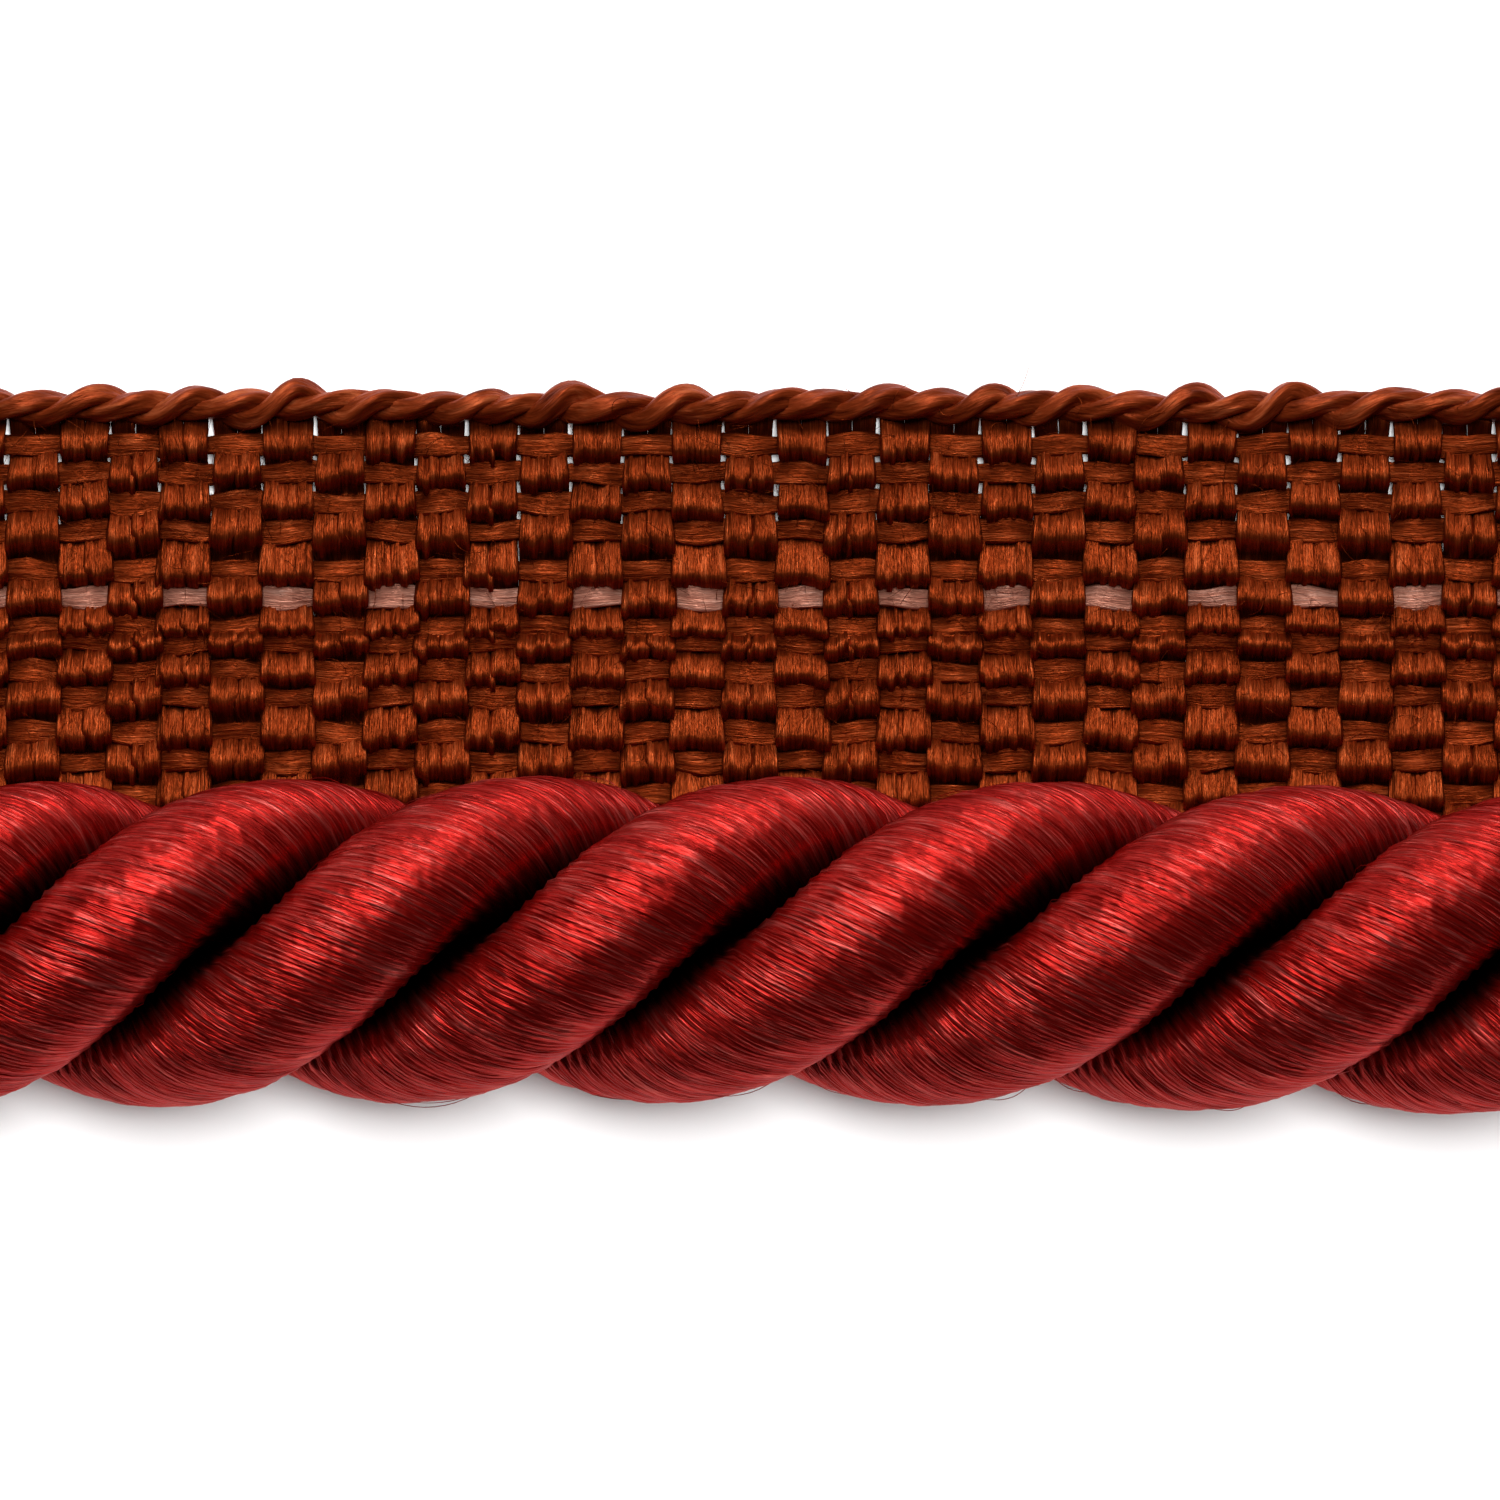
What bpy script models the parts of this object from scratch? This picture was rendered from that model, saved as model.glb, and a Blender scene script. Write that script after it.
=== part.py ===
"""Lip cord trim: a three-ply twisted satin cord with a woven lip along one side.

The trim lies flat, face up, with the cord along X and the lip towards +Y.
The origin is on the lip's underside, on the seam line beside the cord, half-way along.
"""

import math

import bpy
import numpy as np

MM = 0.001
FULL_TURN = 2.0 * math.pi

# The cord: three plies laid up left-handed, so on the face they rise to the right.
PLY_COUNT = 3
LAY_LENGTH = 22.3 * MM
LAYS = 3
TRIM_LENGTH = LAYS * LAY_LENGTH
PLY_CENTRE_RADIUS = 2.38 * MM
PLY_HALF_DEPTH = 2.37 * MM
PLY_HALF_WIDTH = 2.84 * MM
PLY_INNER_RADIUS = 0.4 * MM
CORD_RADIUS = PLY_CENTRE_RADIUS + PLY_HALF_DEPTH
PLY_GAP = 0.3 * MM
LAY_PHASE = math.radians(-102.8)

# Where the cord lies, and how its bow takes the lay along with it.
SEAM_TO_CORD_AXIS = 5.0 * MM
RESTING_FLAT_DEPTH = 0.12 * MM
CORD_AXIS_HEIGHT = CORD_RADIUS - RESTING_FLAT_DEPTH
CORD_BOW = 0.35 * MM
CORD_BOW_SPAN = 60.0 * MM
CORD_BOW_MIDDLE = -5.0 * MM
LAY_SLIP = 0.7 * MM

# The cut ends of the plies are rounded over.
CUT_ROUNDING_LENGTH = 0.6 * MM
CUT_ROUNDING_SCALE = 0.86

# The lip: 44 weft columns to the length of the trim, plaited in pairs along its outer edge.
WEFT_COLUMNS = 44
WEFT_PITCH = TRIM_LENGTH / WEFT_COLUMNS
PLAIT_PITCH = 2.0 * WEFT_PITCH
PLAIT_BUMP_WIDTH = 0.42 * MM
PLAIT_BUMP_HEIGHT = 0.22 * MM
EDGE_WANDER = 0.09 * MM
EDGE_WANDER_SPANS = (17.0 * MM, 29.0 * MM)

# The lip's section, once round. Columns: distance outwards from the seam line, height,
# and the share of the plaited edge's bumps that the point takes. The open face starts where
# the cord no longer overhangs it.
LIP_SECTION = (
    (-1.75 * MM, 0.15 * MM, 0.0),
    (-1.50 * MM, 0.00 * MM, 0.0),
    (10.60 * MM, 0.00 * MM, 0.0),
    (10.95 * MM, 0.18 * MM, 1.0),
    (11.02 * MM, 0.55 * MM, 1.0),
    (10.90 * MM, 0.92 * MM, 0.9),
    (10.60 * MM, 1.08 * MM, 0.5),
    (10.25 * MM, 0.98 * MM, 0.1),
    (10.00 * MM, 0.86 * MM, 0.0),
    (9.75 * MM, 1.00 * MM, 0.0),
    (0.05 * MM, 1.00 * MM, 0.0),
    (-1.20 * MM, 0.94 * MM, 0.0),
    (-1.55 * MM, 0.85 * MM, 0.0),
    (-1.75 * MM, 0.55 * MM, 0.0),
)

# Mesh steps.
PLY_STEPS_PER_LAY = 20
PLY_STEPS_ROUND = 20
LIP_STEPS_PER_BUMP = 5

SATIN_RED = (0.30, 0.008, 0.006, 1.0)
RUST_WEAVE = (0.16, 0.022, 0.006, 1.0)


def clear_scene():
    for item in list(bpy.data.objects):
        bpy.data.objects.remove(item, do_unlink=True)


def cloth_material(name, colour, roughness):
    material = bpy.data.materials.new(name)
    material.use_nodes = True
    shader = material.node_tree.nodes["Principled BSDF"]
    shader.inputs["Base Color"].default_value = colour
    shader.inputs["Roughness"].default_value = roughness
    shader.inputs["Metallic"].default_value = 0.0
    return material


def loft(name, rings, material, sharp_angle):
    """Join rings of points, each once round counter-clockwise seen from +X, into one closed body."""
    ring_count, round_count = rings.shape[:2]
    index = np.arange(ring_count * round_count).reshape(ring_count, round_count)
    here, ahead = index[:-1], index[1:]
    quads = np.stack(
        (here, np.roll(here, -1, 1), np.roll(ahead, -1, 1), ahead), axis=-1
    ).reshape(-1, 4)
    faces = quads.tolist()
    faces.append(index[0][::-1].tolist())
    faces.append(index[-1].tolist())
    mesh = bpy.data.meshes.new(name)
    mesh.from_pydata(rings.reshape(-1, 3).tolist(), [], faces)
    mesh.validate()
    mesh.shade_smooth()
    mesh.set_sharp_from_angle(angle=math.radians(sharp_angle))
    mesh.materials.append(material)
    body = bpy.data.objects.new(name, mesh)
    bpy.context.scene.collection.objects.link(body)
    return body


def bow_share(x):
    """How far the cord is bowed away from the seam line at x, from 0 to 1, in one slow wave."""
    return 0.5 - 0.5 * np.cos(FULL_TURN * (x - CORD_BOW_MIDDLE) / CORD_BOW_SPAN)


def lay_turn(x, number):
    """The angle of a ply round the cord at x, from +Y towards +Z."""
    start = LAY_PHASE + number * FULL_TURN / PLY_COUNT
    return start - FULL_TURN * (x - LAY_SLIP * bow_share(x)) / LAY_LENGTH


def ply_section():
    """One ply seen along the cord: an ellipse, flattened where it presses on its two neighbours."""
    turn = np.arange(PLY_STEPS_ROUND) * FULL_TURN / PLY_STEPS_ROUND
    outward = PLY_CENTRE_RADIUS + PLY_HALF_DEPTH * np.cos(turn)
    outward = np.maximum(outward, PLY_INNER_RADIUS)
    sideways = PLY_HALF_WIDTH * np.sin(turn)
    half_wedge = math.pi / PLY_COUNT
    limit = (outward * math.sin(half_wedge) - 0.5 * PLY_GAP) / math.cos(half_wedge)
    return outward, np.clip(sideways, -limit, limit)


def ply_stations():
    """Places along the cord, with one more near each end, where the rounding of the cut starts."""
    half = 0.5 * TRIM_LENGTH
    body = np.linspace(-half, half, LAYS * PLY_STEPS_PER_LAY + 1)
    shoulder = half - CUT_ROUNDING_LENGTH
    stations = np.concatenate(([-half, -shoulder], body[1:-1], [shoulder, half]))
    shrink = np.ones(stations.size)
    shrink[0] = CUT_ROUNDING_SCALE
    shrink[-1] = CUT_ROUNDING_SCALE
    return stations, shrink


def make_ply(number, material):
    outward, sideways = ply_section()
    x, shrink = ply_stations()
    x, shrink = x[:, None], shrink[:, None]
    outward = PLY_CENTRE_RADIUS + (outward - PLY_CENTRE_RADIUS) * shrink
    sideways = sideways * shrink
    turn = lay_turn(x, number)
    across = outward * np.cos(turn) - sideways * np.sin(turn)
    across = across - SEAM_TO_CORD_AXIS - CORD_BOW * bow_share(x)
    height = CORD_AXIS_HEIGHT + outward * np.sin(turn) + sideways * np.cos(turn)
    rings = np.stack((np.broadcast_to(x, across.shape), across, np.maximum(height, 0.0)), axis=-1)
    return loft(f"cord_ply_{number + 1}", rings, material, 60.0)


def plait_bump(x):
    """0 between two bumps of the plaited edge, 1 on a bump, with a slow wander of the whole edge."""
    bump = 0.5 - 0.5 * np.cos(FULL_TURN * x / PLAIT_PITCH)
    wander = sum(np.sin(FULL_TURN * x / span) for span in EDGE_WANDER_SPANS)
    return bump, EDGE_WANDER * wander / len(EDGE_WANDER_SPANS)


def make_lip(material):
    section = np.array(LIP_SECTION)
    steps = WEFT_COLUMNS // 2 * LIP_STEPS_PER_BUMP
    x = np.linspace(-0.5 * TRIM_LENGTH, 0.5 * TRIM_LENGTH, steps + 1)[:, None]
    bump, wander = plait_bump(x)
    share = section[:, 2]
    across = section[:, 0] + share * (PLAIT_BUMP_WIDTH * bump + wander)
    raised = np.where(section[:, 1] > 0.5 * MM, share, 0.0)
    height = section[:, 1] + raised * PLAIT_BUMP_HEIGHT * bump
    rings = np.stack((np.broadcast_to(x, across.shape), across, height), axis=-1)
    return loft("lip_tape", rings, material, 50.0)


def build():
    clear_scene()
    satin = cloth_material("cord_satin", SATIN_RED, 0.38)
    weave = cloth_material("lip_weave", RUST_WEAVE, 0.85)
    for number in range(PLY_COUNT):
        make_ply(number, satin)
    make_lip(weave)


build()
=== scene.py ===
# The looks of a length of lip cord: three satin plies, and a woven lip with a plaited edge.
import math

import bpy
import numpy as np
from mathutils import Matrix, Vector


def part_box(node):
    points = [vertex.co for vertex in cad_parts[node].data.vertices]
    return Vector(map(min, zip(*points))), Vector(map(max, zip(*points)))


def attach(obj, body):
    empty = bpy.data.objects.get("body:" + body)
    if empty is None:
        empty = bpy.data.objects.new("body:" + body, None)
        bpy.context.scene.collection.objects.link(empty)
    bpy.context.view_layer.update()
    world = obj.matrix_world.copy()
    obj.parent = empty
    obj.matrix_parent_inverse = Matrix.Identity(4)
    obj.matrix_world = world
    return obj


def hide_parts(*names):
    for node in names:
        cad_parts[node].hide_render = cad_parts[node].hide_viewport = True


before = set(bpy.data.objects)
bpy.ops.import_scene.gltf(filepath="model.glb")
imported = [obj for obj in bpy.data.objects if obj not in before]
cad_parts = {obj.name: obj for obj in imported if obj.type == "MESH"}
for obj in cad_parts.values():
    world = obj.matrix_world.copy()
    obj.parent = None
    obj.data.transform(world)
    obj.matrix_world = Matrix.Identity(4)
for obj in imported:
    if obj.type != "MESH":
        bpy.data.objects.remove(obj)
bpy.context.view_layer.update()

mm = 0.001
fullTurn = 2 * math.pi
photoSide = 1500  # the photograph is this many pixels each way
photoPixel = 9.5 * mm / 324  # the cord is 9.5 mm across, and 324 pixels in the photograph
dice = np.random.default_rng(41)

tapeLow, tapeHigh = (list(corner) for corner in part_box("lip_tape"))
trimHalf = tapeHigh[0]  # the trim runs as far each way along X


# Shader maths: a sum on a Wire adds the Math node that works it out.
class Wire:
    def __init__(self, finish, socket):
        self.finish = finish
        self.socket = socket

    def maths(self, operation, first, second=0.0, clamp=False):
        settings = {"operation": operation, "use_clamp": clamp}
        return self.finish.node("ShaderNodeMath", settings, {0: first, 1: second})

    def __add__(self, other):
        return self.maths("ADD", self, other)

    def __radd__(self, other):
        return self.maths("ADD", other, self)

    def __sub__(self, other):
        return self.maths("SUBTRACT", self, other)

    def __rsub__(self, other):
        return self.maths("SUBTRACT", other, self)

    def __mul__(self, other):
        return self.maths("MULTIPLY", self, other)

    def __rmul__(self, other):
        return self.maths("MULTIPLY", other, self)

    def held(self):
        return self.maths("ADD", self, 0.0, clamp=True)


# One material: the shader's fixed values go in at the start, and node() adds what varies.
class Finish:
    def __init__(self, name, values):
        self.material = bpy.data.materials.new(name)
        self.material.use_nodes = True
        self.tree = self.material.node_tree
        self.shader = self.tree.nodes["Principled BSDF"]
        for socket, value in values.items():
            self.shader.inputs[socket].default_value = value

    def node(self, kind, settings=None, values=None, output=0):
        made = self.tree.nodes.new(kind)
        for key, value in (settings or {}).items():
            if key == "stops":
                self.setStops(made.color_ramp, value)
            else:
                setattr(made, key, value)
        for socket, value in (values or {}).items():
            self.put(made.inputs[socket], value)
        return Wire(self, made.outputs[output])

    def setStops(self, ramp, stops):
        while len(ramp.elements) < len(stops):
            ramp.elements.new(0.5)
        for element, (place, colour) in zip(ramp.elements, stops):
            element.position = place
            element.color = (*colour, 1.0)

    def put(self, socket, value):
        if isinstance(value, Wire):
            self.tree.links.new(value.socket, socket)
        else:
            socket.default_value = value

    def feed(self, socket, value):
        self.put(self.shader.inputs[socket], value)

    # The piece's own thread coordinates: x once round or across its threads, y along them in mm.
    def thread(self, across, along, offset=0.0):
        lie = self.node("ShaderNodeUVMap", {"uv_map": "thread"})
        settings = {"vector_type": "POINT"}
        values = {"Vector": lie, "Location": (offset, offset, offset), "Scale": (across, along, 1.0)}
        return self.node("ShaderNodeMapping", settings, values)

    def noise(self, vector, scale=1.0, detail=2.0, roughness=0.5):
        values = {"Vector": vector, "Scale": scale, "Detail": detail, "Roughness": roughness}
        return self.node("ShaderNodeTexNoise", {"noise_dimensions": "3D"}, values)

    def mix(self, factor, low, high):
        return self.node("ShaderNodeMix", {"data_type": "RGBA"}, {0: factor, 6: low, 7: high}, output=2)

    def bump(self, height, strength, distance):
        values = {"Height": height, "Strength": strength, "Distance": distance}
        return self.node("ShaderNodeBump", {}, values)


# Sets of closed tubes in one mesh. rings holds tube, station, point round and xyz. Each ring runs
# counter-clockwise seen from ahead, quads join it to the next, and one flat face closes each end.
# across is the thread coordinate of each point round, one more than there are, and along of each
# station. The last argument says how deep in a groove each point lies, from 0 to 1: how much painted shade
# it takes.
def makeTubes(name, rings, across, along, finish, sunk=None):
    tubes, stations, around = rings.shape[:3]
    index = np.arange(tubes * stations * around).reshape(tubes, stations, around)
    turned = np.roll(index, -1, axis=2)
    quads = np.stack((index[:, :-1], turned[:, :-1], turned[:, 1:], index[:, 1:]), axis=-1).reshape(-1, 4)
    starts = index[:, 0, ::-1].reshape(-1)
    ends = index[:, -1].reshape(-1)
    corners = np.concatenate((quads.ravel(), starts, ends))
    sizes = np.concatenate((np.full(len(quads), 4), np.full(2 * tubes, around)))

    across = np.broadcast_to(across, (tubes, around + 1))
    along = np.broadcast_to(along, (tubes, stations))
    quadShape = (tubes, stations - 1, around)
    near = np.broadcast_to(across[:, None, :-1], quadShape)
    far = np.broadcast_to(across[:, None, 1:], quadShape)
    here = np.broadcast_to(along[:, :-1, None], quadShape)
    ahead = np.broadcast_to(along[:, 1:, None], quadShape)
    quadLie = np.stack((near, here, far, here, far, ahead, near, ahead), axis=-1).reshape(-1, 2)
    startLie = np.stack((across[:, -2::-1], np.repeat(along[:, :1], around, 1)), axis=-1).reshape(-1, 2)
    endLie = np.stack((across[:, :-1], np.repeat(along[:, -1:], around, 1)), axis=-1).reshape(-1, 2)

    mesh = bpy.data.meshes.new(name)
    mesh.vertices.add(rings.size // 3)
    mesh.vertices.foreach_set("co", rings.astype(np.float32).ravel())
    mesh.loops.add(corners.size)
    mesh.loops.foreach_set("vertex_index", corners.astype(np.int32))
    mesh.polygons.add(sizes.size)
    mesh.polygons.foreach_set("loop_start", (np.cumsum(sizes) - sizes).astype(np.int32))
    mesh.update(calc_edges=True)
    lie = mesh.uv_layers.new(name="thread")
    lie.data.foreach_set("uv", np.concatenate((quadLie, startLie, endLie)).astype(np.float32).ravel())
    if sunk is not None:
        share = mesh.attributes.new("sunk", "FLOAT", "POINT")
        share.data.foreach_set("value", sunk.astype(np.float32).ravel())
    mesh.validate()
    mesh.shade_smooth()
    mesh.materials.append(finish.material)
    piece = bpy.data.objects.new(name, mesh)
    bpy.context.scene.collection.objects.link(piece)
    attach(piece, "root")
    return piece


# Threads along any paths: path holds thread, station and xyz, and radius is one for all, or one for
# each station, or one for each point round.
# The ring stands square to the path, on a side axis taken from the path and the vertical.
def threadRings(path, radius, sides):
    ahead = np.gradient(path, axis=1)
    ahead /= np.linalg.norm(ahead, axis=-1, keepdims=True)
    side = np.cross(ahead, np.array([0.013, 0.021, 1.0]))
    side /= np.linalg.norm(side, axis=-1, keepdims=True)
    top = np.cross(ahead, side)
    turn = np.arange(sides) * fullTurn / sides
    reach = np.asarray(radius)
    if reach.ndim < 3:
        reach = np.broadcast_to(reach, path.shape[:2])[:, :, None]
    ring = np.cos(turn)[:, None] * side[:, :, None] + np.sin(turn)[:, None] * top[:, :, None]
    return path[:, :, None] + reach[..., None] * ring


cord = {
    "plies": 3,
    "layLength": 2 * trimHalf / 3,
    "layPhase": math.radians(-102.8),
    "centreRadius": 2.38 * mm,
    "halfDepth": 2.37 * mm,
    "halfWidth": 2.84 * mm,
    "innerRadius": 0.35 * mm,
    "pressGap": 0.02 * mm,
    "grooveGap": 0.85 * mm,  # how far the plies part at the mouth of a groove
    "grooveFloor": 0.7 * mm,  # how far from the cord's axis they start to
    "grooveMouth": 2.0 * mm,
    "shoulder": 0.22 * mm,
    "axisAcross": -5.0 * mm,
    "axisHeight": 4.63 * mm,
    "bow": 0.35 * mm,
    "bowSpan": 60 * mm,
    "bowMiddle": -5 * mm,
    "laySlip": 0.7 * mm,
    "filaments": 84,  # ridges once round a ply
    "wrapRate": 0.8327 / mm,  # how fast they turn about the ply, in radians, on its flanks
    "wrapSlack": 0.214 / mm,  # and how much slower on its crown
    "ridgeHeight": 0.036 * mm,
    "lumpHeight": 0.045 * mm,
    "stations": 208,
    "cutDepth": 0.55 * mm,
}


# How far the cord is bowed away from the seam line, from 0 to 1, in one slow wave.
def bowShare(x):
    return 0.5 - 0.5 * np.cos(fullTurn * (x - cord["bowMiddle"]) / cord["bowSpan"])


# The angle of a ply round the cord at x, from +Y towards +Z: one left-handed turn in each lay.
def layTurn(x, number):
    start = cord["layPhase"] + number * fullTurn / cord["plies"]
    return start - fullTurn * (x - cord["laySlip"] * bowShare(x)) / cord["layLength"]


# The angle of a filament round its ply. It turns at wrapRate less wrapSlack times the cosine of that
# angle, so it lies closer on the crown. even is the angle at which it starts, in equal steps.
def wrapTurn(even, x):
    rate, slack = cord["wrapRate"], cord["wrapSlack"]
    steady = math.sqrt(rate ** 2 - slack ** 2)
    pull = math.sqrt((rate - slack) / (rate + slack))
    turned = 0.5 * (even + steady * x)
    whole = np.floor(turned / math.pi + 0.5)
    return 2 * (np.arctan(pull * np.tan(turned - whole * math.pi)) + whole * math.pi)


# A point of a ply from its wrap angle and its height over the ply's own surface: an ellipse round
# the ply's centre, pressed flat where it would pass its third of the cord, then turned round the cord.
# The plies part towards the mouth of the groove, and the ellipse rounds over into the pressed face.
def plyPoint(x, wrap, number, proud, shrink=1.0):
    depth, width, centre = cord["halfDepth"], cord["halfWidth"], cord["centreRadius"]
    outX, outY = np.cos(wrap) / depth, np.sin(wrap) / width
    outLength = np.hypot(outX, outY)
    outward = centre + shrink * (depth * np.cos(wrap) + proud * outX / outLength)
    sideways = shrink * (width * np.sin(wrap) + proud * outY / outLength)
    outward = np.maximum(outward, cord["innerRadius"])
    wedge = math.pi / cord["plies"]
    floor, mouth = cord["grooveFloor"], cord["grooveMouth"]
    opening = np.clip((outward - floor) / (mouth - floor), 0.0, 1.0)
    gap = cord["pressGap"] + cord["grooveGap"] * opening ** 2 * (3 - 2 * opening)
    limit = (outward * math.sin(wedge) - 0.5 * gap) / math.cos(wedge)
    reach = np.abs(sideways)
    pressed = 0.5 * (reach + limit - np.sqrt((reach - limit) ** 2 + (cord["shoulder"] * opening) ** 2))
    sideways = np.sign(sideways) * np.clip(pressed, 0.0, reach)
    turn = layTurn(x, number)
    across = cord["axisAcross"] - cord["bow"] * bowShare(x)
    across = across + outward * np.cos(turn) - sideways * np.sin(turn)
    height = cord["axisHeight"] + outward * np.sin(turn) + sideways * np.cos(turn)
    x = np.broadcast_to(x, across.shape)
    return np.stack((x, across, np.maximum(height, 0.0)), axis=-1)


# Smooth chance waves over a grid of two parameters: a sum of sines with chance slopes and starts.
def chanceWaves(first, second, firstSpan, secondSpan, count=9):
    total = 0.0
    for _ in range(count):
        slopes = dice.normal(0.0, 1.0, 2)
        start = dice.uniform(0.0, fullTurn)
        steps = first * slopes[0] / firstSpan + second * slopes[1] / secondSpan
        total = total + np.sin(fullTurn * steps + start)
    return total / math.sqrt(0.5 * count)


# One ply: filaments of uneven width side by side, each a low rounded ridge that swells and sinks
# along its length, on a surface with slow lumps, and a ragged domed cut at both ends.
def makePly(number, finish):
    count = cord["filaments"]
    widths = dice.uniform(0.55, 1.45, count)
    edges = np.concatenate(([0.0], np.cumsum(widths))) / widths.sum()
    part = np.array([0.0, 0.25, 0.5, 0.75])
    rise = np.array([0.0, 0.78, 1.0, 0.78])
    even = (edges[:-1, None] + part * np.diff(edges)[:, None]).ravel() * fullTurn
    ridge = np.tile(rise, count) * np.repeat(np.sqrt(widths), part.size)
    lane = np.arange(even.size) / part.size

    inner = trimHalf - cord["cutDepth"]
    x = np.linspace(-inner, inner, cord["stations"])[:, None]
    swell = 0.75 + 0.22 * chanceWaves(lane[None] * 1.0, x / mm, 2.2, 3.0)
    lump = chanceWaves(np.cos(even)[None] + 2 * np.sin(even)[None], x / mm, 1.4, 5.0)
    sway = 0.012 * chanceWaves(lane[None], x / mm, 9.0, 3.5)
    proud = cord["ridgeHeight"] * ridge * np.clip(swell, 0.15, 1.5) + cord["lumpHeight"] * 0.5 * lump
    wrap = wrapTurn(even[None] + sway, x)
    body = plyPoint(x, wrap, number, proud)
    # Painted shade: the flanks turned past about 89 degrees round the ply, deep in the groove, are marked
    # to take a near-black base colour.
    flank = np.abs(np.arctan2(np.sin(wrap), np.cos(wrap)))
    flank = flank + 0.05 * chanceWaves(lane[None], x / mm, 1.8, 2.5)
    sunk = np.clip((flank - math.radians(89)) / 0.35, 0.0, 1.0)

    cutSteps = np.array([1.0, 0.99, 0.93, 0.8, 0.62, 0.42, 0.2, 0.03])[::-1]
    cutDome = (1 - cutSteps ** 4)[:, None] * cord["cutDepth"]
    ragged = dice.normal(0.0, 0.09 * mm, (cutSteps.size, even.size)) * (cutSteps < 0.99)[:, None]
    rings = []
    for sign, row in ((-1, 0), (1, -1)):
        flat = plyPoint(x[row][None], wrap[row][None], number, proud[row][None])
        core = flat.mean(axis=1, keepdims=True)
        ring = core + (flat - core) * cutSteps[:, None, None]
        ring[..., 0] = sign * (inner + cutDome + ragged * 0.6)
        rings.append(ring[:-1] if sign < 0 else ring[:-1][::-1])
    points = np.concatenate((rings[0], body, rings[1]))[None]
    along = points[0, :, :, 0].mean(axis=1) / mm
    across = np.concatenate((lane, [count])) + number * 100.0
    sunk = np.pad(sunk, ((cutSteps.size - 1, cutSteps.size - 1), (0, 0)))
    piece = makeTubes(f"satin_ply_{number + 1}", points, across, along, finish, sunk)
    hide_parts(f"cord_ply_{number + 1}")
    return piece


strays = {
    "count": 150,
    "stations": 16,
    "endRoom": 3 * mm,
    "lengths": (1.2 * mm, 4.5 * mm),
    "drift": 0.10 / mm,  # how fast they leave the lay, in radians
    "lifts": (0.03 * mm, 0.16 * mm),
    "radius": 0.011 * mm,
}


# Loose filaments that lie on the plies and leave their lay by a few degrees.
def makeCordStrays(finish):
    count, stations = strays["count"], strays["stations"]
    number = np.arange(count) % cord["plies"]
    paths = []
    middle = dice.uniform(-trimHalf + strays["endRoom"], trimHalf - strays["endRoom"], count)
    length = dice.uniform(*strays["lengths"], count)
    even = dice.uniform(0, fullTurn, count)
    drift = dice.normal(0.0, strays["drift"], count)
    lift = dice.uniform(*strays["lifts"], count)
    step = np.linspace(-0.5, 0.5, stations)
    for one in range(count):
        x = middle[one] + length[one] * step
        wrap = wrapTurn(even[one] + drift[one] * (x - middle[one]), x)
        proud = cord["ridgeHeight"] * 0.9 + lift[one] * (1.0 - 4 * step ** 2) * np.cos(3 * step)
        paths.append(plyPoint(x, wrap, number[one], proud))
    path = np.array(paths)
    taper = strays["radius"] * (1.15 - np.abs(2 * step) ** 3)
    rings = threadRings(path, taper[None], 4)
    along = np.broadcast_to(step * 4, (count, stations))
    across = np.arange(count)[:, None] * 3.0 + np.linspace(0, 1, 5)
    return makeTubes("satin_strays", rings, across, along, finish)


weave = {
    "columns": 43,
    "pitch": 2 * trimHalf / 44,
    "middle": 0.52 * mm,
    "innerEdge": -2.3 * mm,
    "outerEdge": 10.80 * mm,
    "weftRidges": 5,  # in each of the two flat yarns of a column
    "weftStations": 72,
    "weftHalfWidth": 0.415 * mm,
    "weftHalfHeight": 0.15 * mm,
    "weftLift": 0.43 * mm,
    "drawnIn": 0.15,  # the share of its width that a column loses at the plaited edge
    "warpRidges": 4,
    "warpStations": 300,
    "warpHalfWidth": 0.33 * mm,
    "warpHalfHeight": 0.12 * mm,
    "warpLift": 0.15 * mm,
    "warpSpans": (6.7 * mm, 2.6 * mm, 4.3 * mm, 6.2 * mm, 2.1 * mm),  # of its roll, width and sway
    "fray": 0.55 * mm,
}
# Where each warp lies, outwards from the seam line, from the edge to under the cord.
warpAcross = mm * np.array(
    [9.57, 8.75, 7.87, 7.03, 5.85, 5.06, 4.16, 3.74, 2.86, 2.12, 1.05, 0.21, -0.81, -1.6])
tracerWarp = 5  # the pink one


# The weave's place across the lip: 0 on the first warp, 1 on the next and so on, eased between them.
def warpPlace(y):
    known = np.concatenate(([11.2 * mm], warpAcross, [-2.6 * mm]))[::-1]
    places = np.arange(-1, warpAcross.size + 1)[::-1].astype(float)
    ease = 0.16 * mm
    eased = [np.interp(y + shift, known, places) for shift in (-ease, 0.0, ease)]
    return sum(eased) / 3


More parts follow.
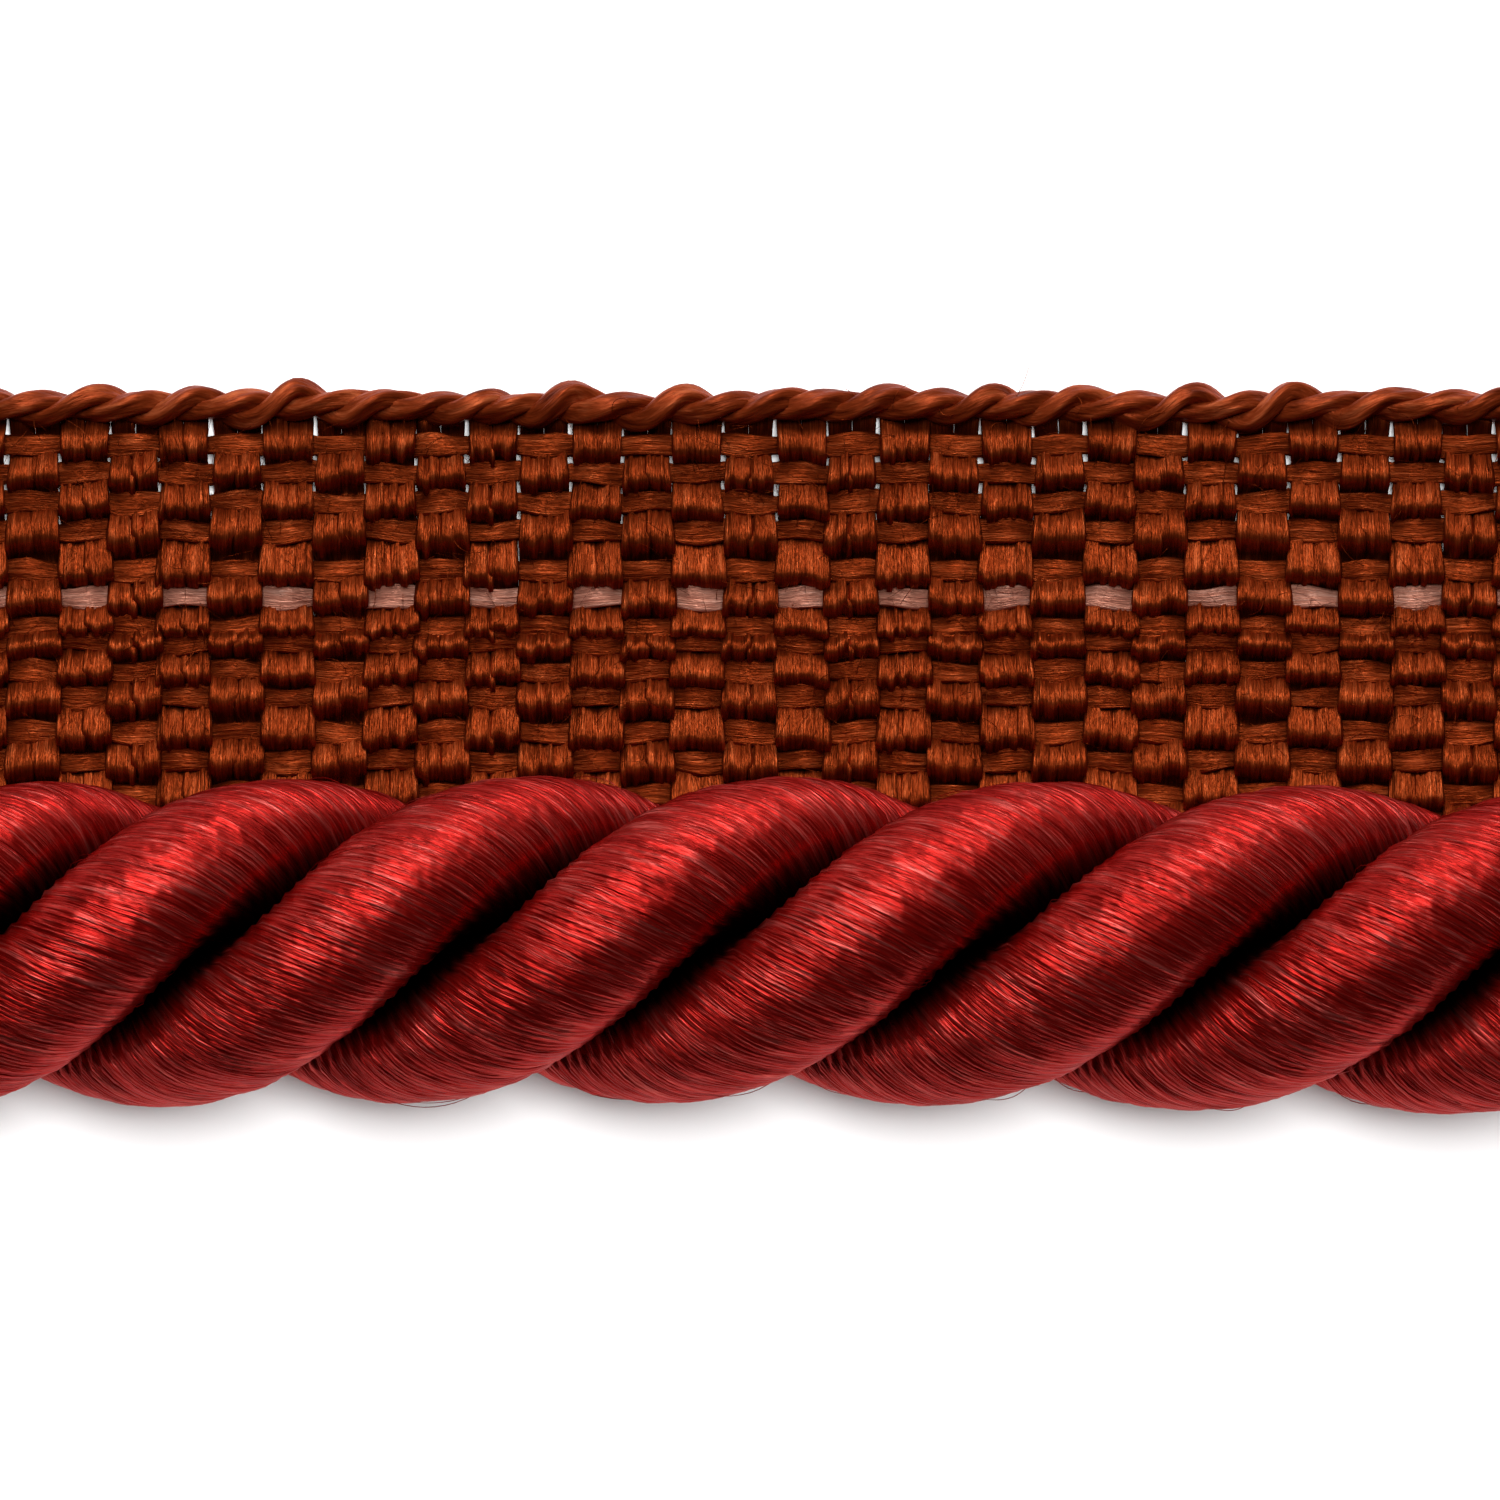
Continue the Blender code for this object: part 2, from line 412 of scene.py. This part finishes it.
# The section of a flat yarn that is a bundle of fibres: across it from -1 to 1 over the top, where
# uneven ridges stand on a low dome, and back along a smooth underside. lane names the ridge of each point.
def ribbonSection(count, ridges):
    widths = dice.uniform(0.6, 1.4, (count, ridges))
    edges = np.concatenate((np.zeros((count, 1)), np.cumsum(widths, axis=1)), axis=1)
    edges = edges / widths.sum(1, keepdims=True)
    left, right = edges[:, :-1], edges[:, 1:]
    across = np.stack((left, 0.7 * left + 0.3 * right, 0.3 * left + 0.7 * right), axis=-1)
    across = 2 * np.concatenate((across.reshape(count, -1), edges[:, -1:]), axis=1) - 1
    crest = dice.uniform(0.85, 1.15, (count, ridges))
    rise = np.stack((0 * crest + 0.78, crest, crest), axis=-1).reshape(count, -1)
    rise = np.concatenate((rise, 0 * crest[:, :1] + 0.78), axis=1) * np.sqrt(1 - 0.93 * across ** 2)
    below = np.tile([0.7, 0.0, -0.7], (count, 1))
    lane = np.concatenate((np.repeat(np.arange(ridges), 3), [ridges - 1, ridges - 1, ridges // 2, 0]))
    across = np.concatenate((across, below), axis=1)
    rise = np.concatenate((rise, -np.sqrt(1 - below ** 2)), axis=1)
    return across, rise, lane


# A wave between -1 and 1: a round dome over each float, longer than a half turn, and a steep dive
# between, as a beaten weft has.
def floatWave(place):
    wave = np.cos(math.pi * place - 0.55 * np.cos(math.pi * place))
    return wave + 0.30 * (1 - wave ** 2)


# The weft: two flat yarns side by side in each column, over one warp and under the next. Each ridge
# of fibres has a little of its own timing and height. The columns draw in towards the plaited edge.
def makeWeft(name, numbers, finish):
    yarns = 2 * len(numbers)
    column = np.repeat(numbers, 2)[:, None, None]
    half = (np.arange(yarns) % 2 * 2 - 1)[:, None, None]
    across, rise, lane = ribbonSection(yarns, weave["weftRidges"])
    y = np.linspace(weave["innerEdge"], weave["outerEdge"], weave["weftStations"])[None, :, None]
    pairChance = np.repeat(dice.normal(size=(4, len(numbers), 1, 1)), 2, axis=1)
    chance = dice.normal(size=(3, yarns, 1, 1))
    laneChance = dice.normal(size=(3, yarns, weave["weftRidges"]))[:, :, lane][:, :, None]

    drawn = np.clip((y - 6.0 * mm) / (3.4 * mm), 0.0, 1.0)
    tight = 1.0 - weave["drawnIn"] * drawn * np.clip(1 + 0.12 * pairChance[0], 0.4, 1.6)
    parting = 0.05 * mm * np.clip((y - 9.3 * mm) / (0.9 * mm), 0.0, 1.0)
    sway = 0.035 * mm * np.sin(fullTurn * y / (7.3 * mm) + 9 * pairChance[1]) + 0.03 * mm * pairChance[2]
    over = floatWave(warpPlace(y + 0.06 * mm * laneChance[0] + 0.05 * mm * chance[0]) + column + 1)
    bulge = 1 + 0.10 * np.clip(over, 0, 1)
    fromMiddle = 0.25 * weave["pitch"] * half + weave["weftHalfWidth"] * bulge * across[:, None]
    x = column * weave["pitch"] + sway + tight * fromMiddle + half * parting
    dome = 1 - 0.5 * (fromMiddle / (0.5 * weave["pitch"])) ** 2
    z = weave["middle"] + weave["weftLift"] * over + 0.05 * mm * dome * np.clip(over, 0, 1)
    z = z + weave["weftHalfHeight"] * rise[:, None] + 0.012 * mm * laneChance[1]
    under = np.clip((y - 9.85 * mm) / (0.5 * mm), 0.0, 1.0)
    z = z * (1 - under) + (0.35 * mm + 0.14 * mm * rise[:, None]) * under
    rings = np.stack(np.broadcast_arrays(x, y, np.maximum(z, 0.0)), axis=-1)
    thread = np.concatenate((across, across[:, :1] - 0.4), axis=1) * 2.2 + np.arange(yarns)[:, None] * 5.37
    piece = makeTubes(name, rings, thread, y.ravel() / mm, finish)
    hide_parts("lip_tape")
    return piece


# Warps: flat yarns of a few ridges, over one column and under the next, that roll a little.
def makeWarps(name, numbers, finish):
    count = len(numbers)
    number = np.array(numbers)[:, None, None]
    across, rise, lane = ribbonSection(count, weave["warpRidges"])
    ends = dice.uniform(0.1, 1.0, (2, count, 1, across.shape[1])) * weave["fray"]
    step = np.linspace(-1, 1, weave["warpStations"])[None, :, None]
    woven = weave["columns"] * 0.5 * weave["pitch"]
    x = step * (woven + np.where(step < 0, ends[0], ends[1]))
    chance = dice.normal(size=(5, count, 1, 1))
    over = np.cos(math.pi * (x / weave["pitch"] + number))
    waves = [np.sin(fullTurn * x / span + 9 * start) for span, start in zip(weave["warpSpans"], chance)]
    roll = 0.35 * waves[0] + 0.25 * waves[1]
    width = 1 + 0.13 * waves[2] + 0.10 * over
    sway = 0.04 * mm * waves[3] + 0.03 * mm * waves[4]
    fromMiddle = -weave["warpHalfWidth"] * width * across[:, None]
    y = warpAcross[number] + sway + fromMiddle * np.cos(roll)
    z = weave["middle"] + weave["warpLift"] * over + weave["warpHalfHeight"] * rise[:, None]
    z = z + 0.5 * fromMiddle * np.sin(roll)
    loose = np.clip((np.abs(x) - woven) / weave["fray"], 0, 1)
    z = z * (1 - 0.4 * loose)
    rings = np.stack(np.broadcast_arrays(x, y, np.maximum(z, 0.0)), axis=-1)
    thread = np.concatenate((across, across[:, :1] - 0.4), axis=1) * 2.2 + np.arange(count)[:, None] * 5.37
    return makeTubes(name, rings, thread, (step * woven).ravel() / mm, finish)


plait = {
    "across": 10.73 * mm,
    "height": 0.60 * mm,
    "strandRadius": 0.37 * mm,
    "smallSwing": 0.13 * mm,
    "lobes": 4,
    "lobeTwist": 1.9 * mm,
    "stations": 520,
    "sides": 20,
}
# Where the large strand of the plait stands out, and how far from the plait's middle, both in mm.
plaitBumps = [
    (-34.4, 0.20), (-31.4, 0.26), (-28.6, 0.20), (-25.3, 0.34), (-22.6, 0.22), (-19.4, 0.32),
    (-16.3, 0.28), (-13.5, 0.48), (-10.5, 0.18), (-7.7, 0.22), (-5.2, 0.46), (-1.7, 0.32),
    (1.0, 0.18), (4.3, 0.26), (7.2, 0.28), (9.8, 0.32), (13.3, 0.40), (16.0, 0.48),
    (19.3, 0.22), (22.4, 0.24), (25.0, 0.32), (28.1, 0.18), (31.0, 0.28), (34.3, 0.22),
]


# The plaited edge: a large and a small strand laid round each other like a rope, rising to the right
# on the face. The large one stands out at the places above. Each is lobed with its own twist.
def makePlait(finish):
    x = np.linspace(-trimHalf + 0.3 * mm, trimHalf - 0.3 * mm, plait["stations"])
    bumps = np.array(plaitBumps) * mm
    turned = -fullTurn * np.interp(x, bumps[:, 0], np.arange(len(bumps)))
    reach = np.interp(x, bumps[:, 0], bumps[:, 1])
    strand = np.arange(2)[:, None]
    swing = np.where(strand == 0, reach, plait["smallSwing"])
    phase = turned + math.pi * strand + 0.25 * np.sin(fullTurn * x / (4.9 * mm) + 2 * strand)
    y = plait["across"] + swing * np.cos(phase) + 0.04 * mm * np.sin(fullTurn * x / (17 * mm))
    z = plait["height"] + 0.20 * mm * np.sin(phase)
    path = np.stack((np.broadcast_to(x, y.shape), y, z), axis=-1)
    turn = np.arange(plait["sides"]) * fullTurn / plait["sides"]
    lobe = 0.5 + 0.5 * np.cos(plait["lobes"] * turn + fullTurn * x[None, :, None] / plait["lobeTwist"])
    size = 1 + 0.12 * np.sin(fullTurn * x / (3.3 * mm) + 4 * strand)
    radius = plait["strandRadius"] * size[:, :, None] * (0.74 + 0.26 * lobe ** 0.6)
    rings = threadRings(path, radius, plait["sides"])
    across = np.arange(2)[:, None] * 7.7 + 3 * np.linspace(0, 1, plait["sides"] + 1)
    return makeTubes("lip_plait", rings, across, x / mm, finish)


fuzz = {
    "count": 170,
    "stations": 12,
    "radius": 0.010 * mm,
    "bend": 1.6,  # radians, from end to end
    "length": 0.55 * mm,  # half of the mean
    "height": 0.82 * mm,
    "arch": 0.7 * mm,
    "nearest": 0.2 * mm,  # the share of the lip that they stay on, outwards from the seam line
    "farthest": 11.9 * mm,
}


# Fine hairs that stand off the woven lip.
def makeFuzz(finish):
    count, stations = fuzz["count"], fuzz["stations"]
    step = np.linspace(0, 1, stations)[None]
    startX = dice.uniform(-trimHalf + mm, trimHalf - mm, count)[:, None]
    startY = dice.uniform(0.2, 11.0, count)[:, None] * mm
    heading = dice.uniform(0, fullTurn, (count, 1))
    bend = dice.normal(0, fuzz["bend"], (count, 1))
    length = dice.gamma(2.0, fuzz["length"], (count, 1))
    angle = heading + bend * step
    x = startX + np.cumsum(np.cos(angle), axis=1) * length / stations
    y = startY + np.cumsum(np.sin(angle), axis=1) * length / stations
    z = fuzz["height"] + dice.uniform(0.0, fuzz["arch"], (count, 1)) * np.sin(math.pi * step)
    x = np.clip(x, -trimHalf, trimHalf)
    y = np.clip(y, fuzz["nearest"], fuzz["farthest"])
    rings = threadRings(np.stack((x, y, z), axis=-1), fuzz["radius"], 4)
    across = np.arange(count)[:, None] * 1.37 + np.linspace(0, 1, 5)
    return makeTubes("lip_fuzz", rings, across, step.ravel() * 3, finish)


nap = {
    "count": 1100,
    "stations": 5,
    "radius": 0.008 * mm,
    "endRoom": 2 * mm,
    "farthest": 10.3 * mm,
    "stray": 0.45,  # radians away from the yarn that a fibre lies on
    "lengths": (0.35 * mm, 1.2 * mm),
    "bow": 0.08,
    "lifts": (0.02 * mm, 0.12 * mm),
}


# How far the weft is over the warp at a place on the lip: above 0 where it is on top.
def weftOver(x, y):
    return floatWave(warpPlace(y) + np.round(x / weave["pitch"]) + 1)


# Short fibres that lie on the woven yarns, more or less along the one that is on top.
def makeNap(finish):
    count, stations = nap["count"], nap["stations"]
    step = np.linspace(-0.5, 0.5, stations)[None]
    x = dice.uniform(-trimHalf + nap["endRoom"], trimHalf - nap["endRoom"], (count, 1))
    y = dice.uniform(0.0, nap["farthest"], (count, 1))
    heading = np.where(weftOver(x, y) > 0, 0.5 * math.pi, 0.0) + dice.normal(0.0, nap["stray"], (count, 1))
    length = dice.uniform(*nap["lengths"], (count, 1))
    bow = length * (2 * step) ** 2
    x = x + length * step * np.cos(heading) + dice.normal(0, nap["bow"], (count, 1)) * bow
    y = y + length * step * np.sin(heading) + dice.normal(0, nap["bow"], (count, 1)) * bow
    weft = weave["weftLift"] * weftOver(x, y) + weave["weftHalfHeight"]
    warp = weave["warpLift"] + weave["warpHalfHeight"]
    z = weave["middle"] + np.maximum(weft, warp) + dice.uniform(*nap["lifts"], (count, 1))
    rings = threadRings(np.stack((x, y, z), axis=-1), nap["radius"], 3)
    across = np.arange(count)[:, None] * 1.37 + np.linspace(0, 1, 4)
    return makeTubes("lip_nap", rings, across, step.ravel() * 2, finish)


# Dyed satin: a red lustre that is dark where it faces away, streaked along the filaments,
# with painted shade that takes it to near black deep in the grooves between the plies.
def satinFinish():
    tint = (0.7, 0.28, 0.24, 1.0)
    finish = Finish("satin_red", {"Metallic": 0.72, "Specular IOR Level": 0.9, "Specular Tint": tint})
    streak = finish.noise(finish.thread(1.5, 0.45), 1.0, 2.0, 0.6)
    hair = finish.noise(finish.thread(3.6, 0.9, 11.0), 1.0, 2.0, 0.6)
    broad = finish.noise(finish.thread(0.35, 0.22, 7.0), 1.0, 2.0, 0.5)
    tone = (((streak + hair * 0.9 + broad * 0.5) - 1.2) * 1.9 + 0.45).held()
    stops = [(0.0, (0.22, 0.001, 0.0006)), (0.5, (0.35, 0.007, 0.005)), (1.0, (0.46, 0.07, 0.06))]
    dye = finish.node("ShaderNodeValToRGB", {"stops": stops}, {"Fac": tone})
    # Painted shade: the base colour goes near black on the points marked as lying deep in a groove between
    # plies.
    sunk = finish.node("ShaderNodeAttribute", {"attribute_name": "sunk"}, output=2)
    finish.feed("Base Color", finish.mix(0.95 * sunk, dye, (0.004, 0.0001, 0.0001, 1.0)))
    finish.feed("Roughness", 0.24 + 0.12 * broad)
    wave = finish.noise(finish.thread(0.3, 1.5, 3.0), 1.0, 1.0, 0.5)
    finish.feed("Normal", finish.bump(hair * 0.8 + streak * 0.6 + wave * 1.6, 1.0, 0.05 * mm))
    return finish


# Dull rayon of the weave: rust with orange and near-black fibres along each yarn.
def yarnFinish(name, deep, middle, bright, lustre):
    tint = (0.7, 0.35, 0.2, 1.0)
    finish = Finish(name, {"Metallic": lustre, "Specular IOR Level": 0.2, "Specular Tint": tint})
    fibre = finish.noise(finish.thread(3.4, 0.9), 1.0, 3.0, 0.65)
    patch = finish.noise(finish.thread(0.8, 0.7, 5.0), 1.0, 2.0, 0.5)
    tone = (((fibre + patch * 0.7) - 0.85) * 1.4 + 0.45).held()
    stops = [(0.0, deep), (0.5, middle), (1.0, bright)]
    finish.feed("Base Color", finish.node("ShaderNodeValToRGB", {"stops": stops}, {"Fac": tone}))
    finish.feed("Roughness", 0.31 + 0.16 * patch)
    fine = finish.noise(finish.thread(5.0, 1.6, 2.0), 1.0, 2.0, 0.6)
    finish.feed("Normal", finish.bump(fine, 1.0, 0.05 * mm))
    return finish


def makeStage():
    size = 1.5
    mesh = bpy.data.meshes.new("table_top")
    corners = [(-size, -size, 0), (size, -size, 0), (size, size, 0), (-size, size, 0)]
    mesh.from_pydata(corners, [], [(0, 1, 2, 3)])
    white = (0.9, 0.9, 0.9, 1.0)
    finish = Finish("white_table", {"Base Color": white, "Roughness": 0.8, "Specular IOR Level": 0.1})
    mesh.materials.append(finish.material)
    floor = bpy.data.objects.new("table_top", mesh)
    bpy.context.scene.collection.objects.link(floor)
    return floor


# A soft light of a given size, aimed at the middle of the trim from an azimuth (0 is +Y, 90 is +X).
def makeLight(name, azimuth, elevation, distance, size, power):
    data = bpy.data.lights.new(name, "AREA")
    data.shape = "RECTANGLE"
    data.size, data.size_y = size
    data.energy = power
    light = bpy.data.objects.new(name, data)
    turned, raised = math.radians(azimuth), math.radians(elevation)
    flat = distance * math.cos(raised)
    light.location = (flat * math.sin(turned), flat * math.cos(turned), distance * math.sin(raised))
    light.rotation_euler = (math.radians(90 - elevation), 0.0, math.radians(180 - azimuth))
    light.visible_camera = False
    bpy.context.scene.collection.objects.link(light)
    return light


# Two soft lights from beyond the lip, and one nearly overhead that lights the table alone.
def makeLights(floor):
    makeLight("low_key", 0, 31, 0.6, (0.22, 0.24), 2.4)
    makeLight("high_key", 0, 62, 0.6, (0.22, 0.28), 1.5)
    overhead = makeLight("table_light", 50, 80.7, 0.6, (0.25, 0.25), 4.95)
    tableOnly = bpy.data.collections.new("table_only")
    tableOnly.objects.link(floor)
    overhead.light_linking.receiver_collection = tableOnly
    world = bpy.data.worlds.new("studio")
    world.use_nodes = True
    world.node_tree.nodes["Background"].inputs["Color"].default_value = (1, 1, 1, 1)
    world.node_tree.nodes["Background"].inputs["Strength"].default_value = 0.03
    bpy.context.scene.world = world


# The camera looks straight down from far off. The frame is as wide as the photograph at the
# height of the cord's axis, which lies 189 pixels under the photograph's middle.
def makeCamera():
    cordLine = 939  # the row of the cord's axis in the photograph
    data = bpy.data.cameras.new("camera")
    data.lens, data.sensor_width = 300, 36
    frameWidth = photoSide * photoPixel
    camera = bpy.data.objects.new("camera", data)
    lift = cord["axisHeight"] + frameWidth * data.lens / data.sensor_width
    middle = cord["axisAcross"] + (cordLine - photoSide / 2) * photoPixel
    camera.location = (0.0, middle, lift)
    data.clip_start, data.clip_end = 0.01, 10.0
    bpy.context.scene.collection.objects.link(camera)
    bpy.context.scene.camera = camera


makeCamera()
makeLights(makeStage())
scene = bpy.context.scene
scene.view_settings.view_transform = "Standard"
print("camera, lights and table are set")

satin = satinFinish()
for number in range(cord["plies"]):
    makePly(number, satin)
makeCordStrays(satin)
print("the three plies are laid up")

rust = yarnFinish("rust_yarn", (0.07, 0.007, 0.001), (0.25, 0.034, 0.006), (0.58, 0.12, 0.033), 0.76)
dull = yarnFinish("plait_yarn", (0.06, 0.005, 0.0006), (0.22, 0.030, 0.006), (0.52, 0.12, 0.04), 0.3)
pink = yarnFinish("tracer_yarn", (0.28, 0.08, 0.05), (0.66, 0.28, 0.19), (0.90, 0.56, 0.44), 0.40)
column = np.arange(weave["columns"]) - weave["columns"] // 2
weft = makeWeft("lip_weft", column[1::2], rust)
otherWeft = makeWeft("lip_weft_between", column[::2], rust)
rustWarps = [number for number in range(warpAcross.size) if number != tracerWarp]
warps = makeWarps("lip_warp", rustWarps, rust)
tracer = makeWarps("lip_tracer", [tracerWarp], pink)
plaitStrands = makePlait(dull)
hairs = makeFuzz(rust)
fibres = makeNap(rust)
flatSize = (2 * trimHalf, tapeHigh[1] - tapeLow[1])
print("the lip is woven")
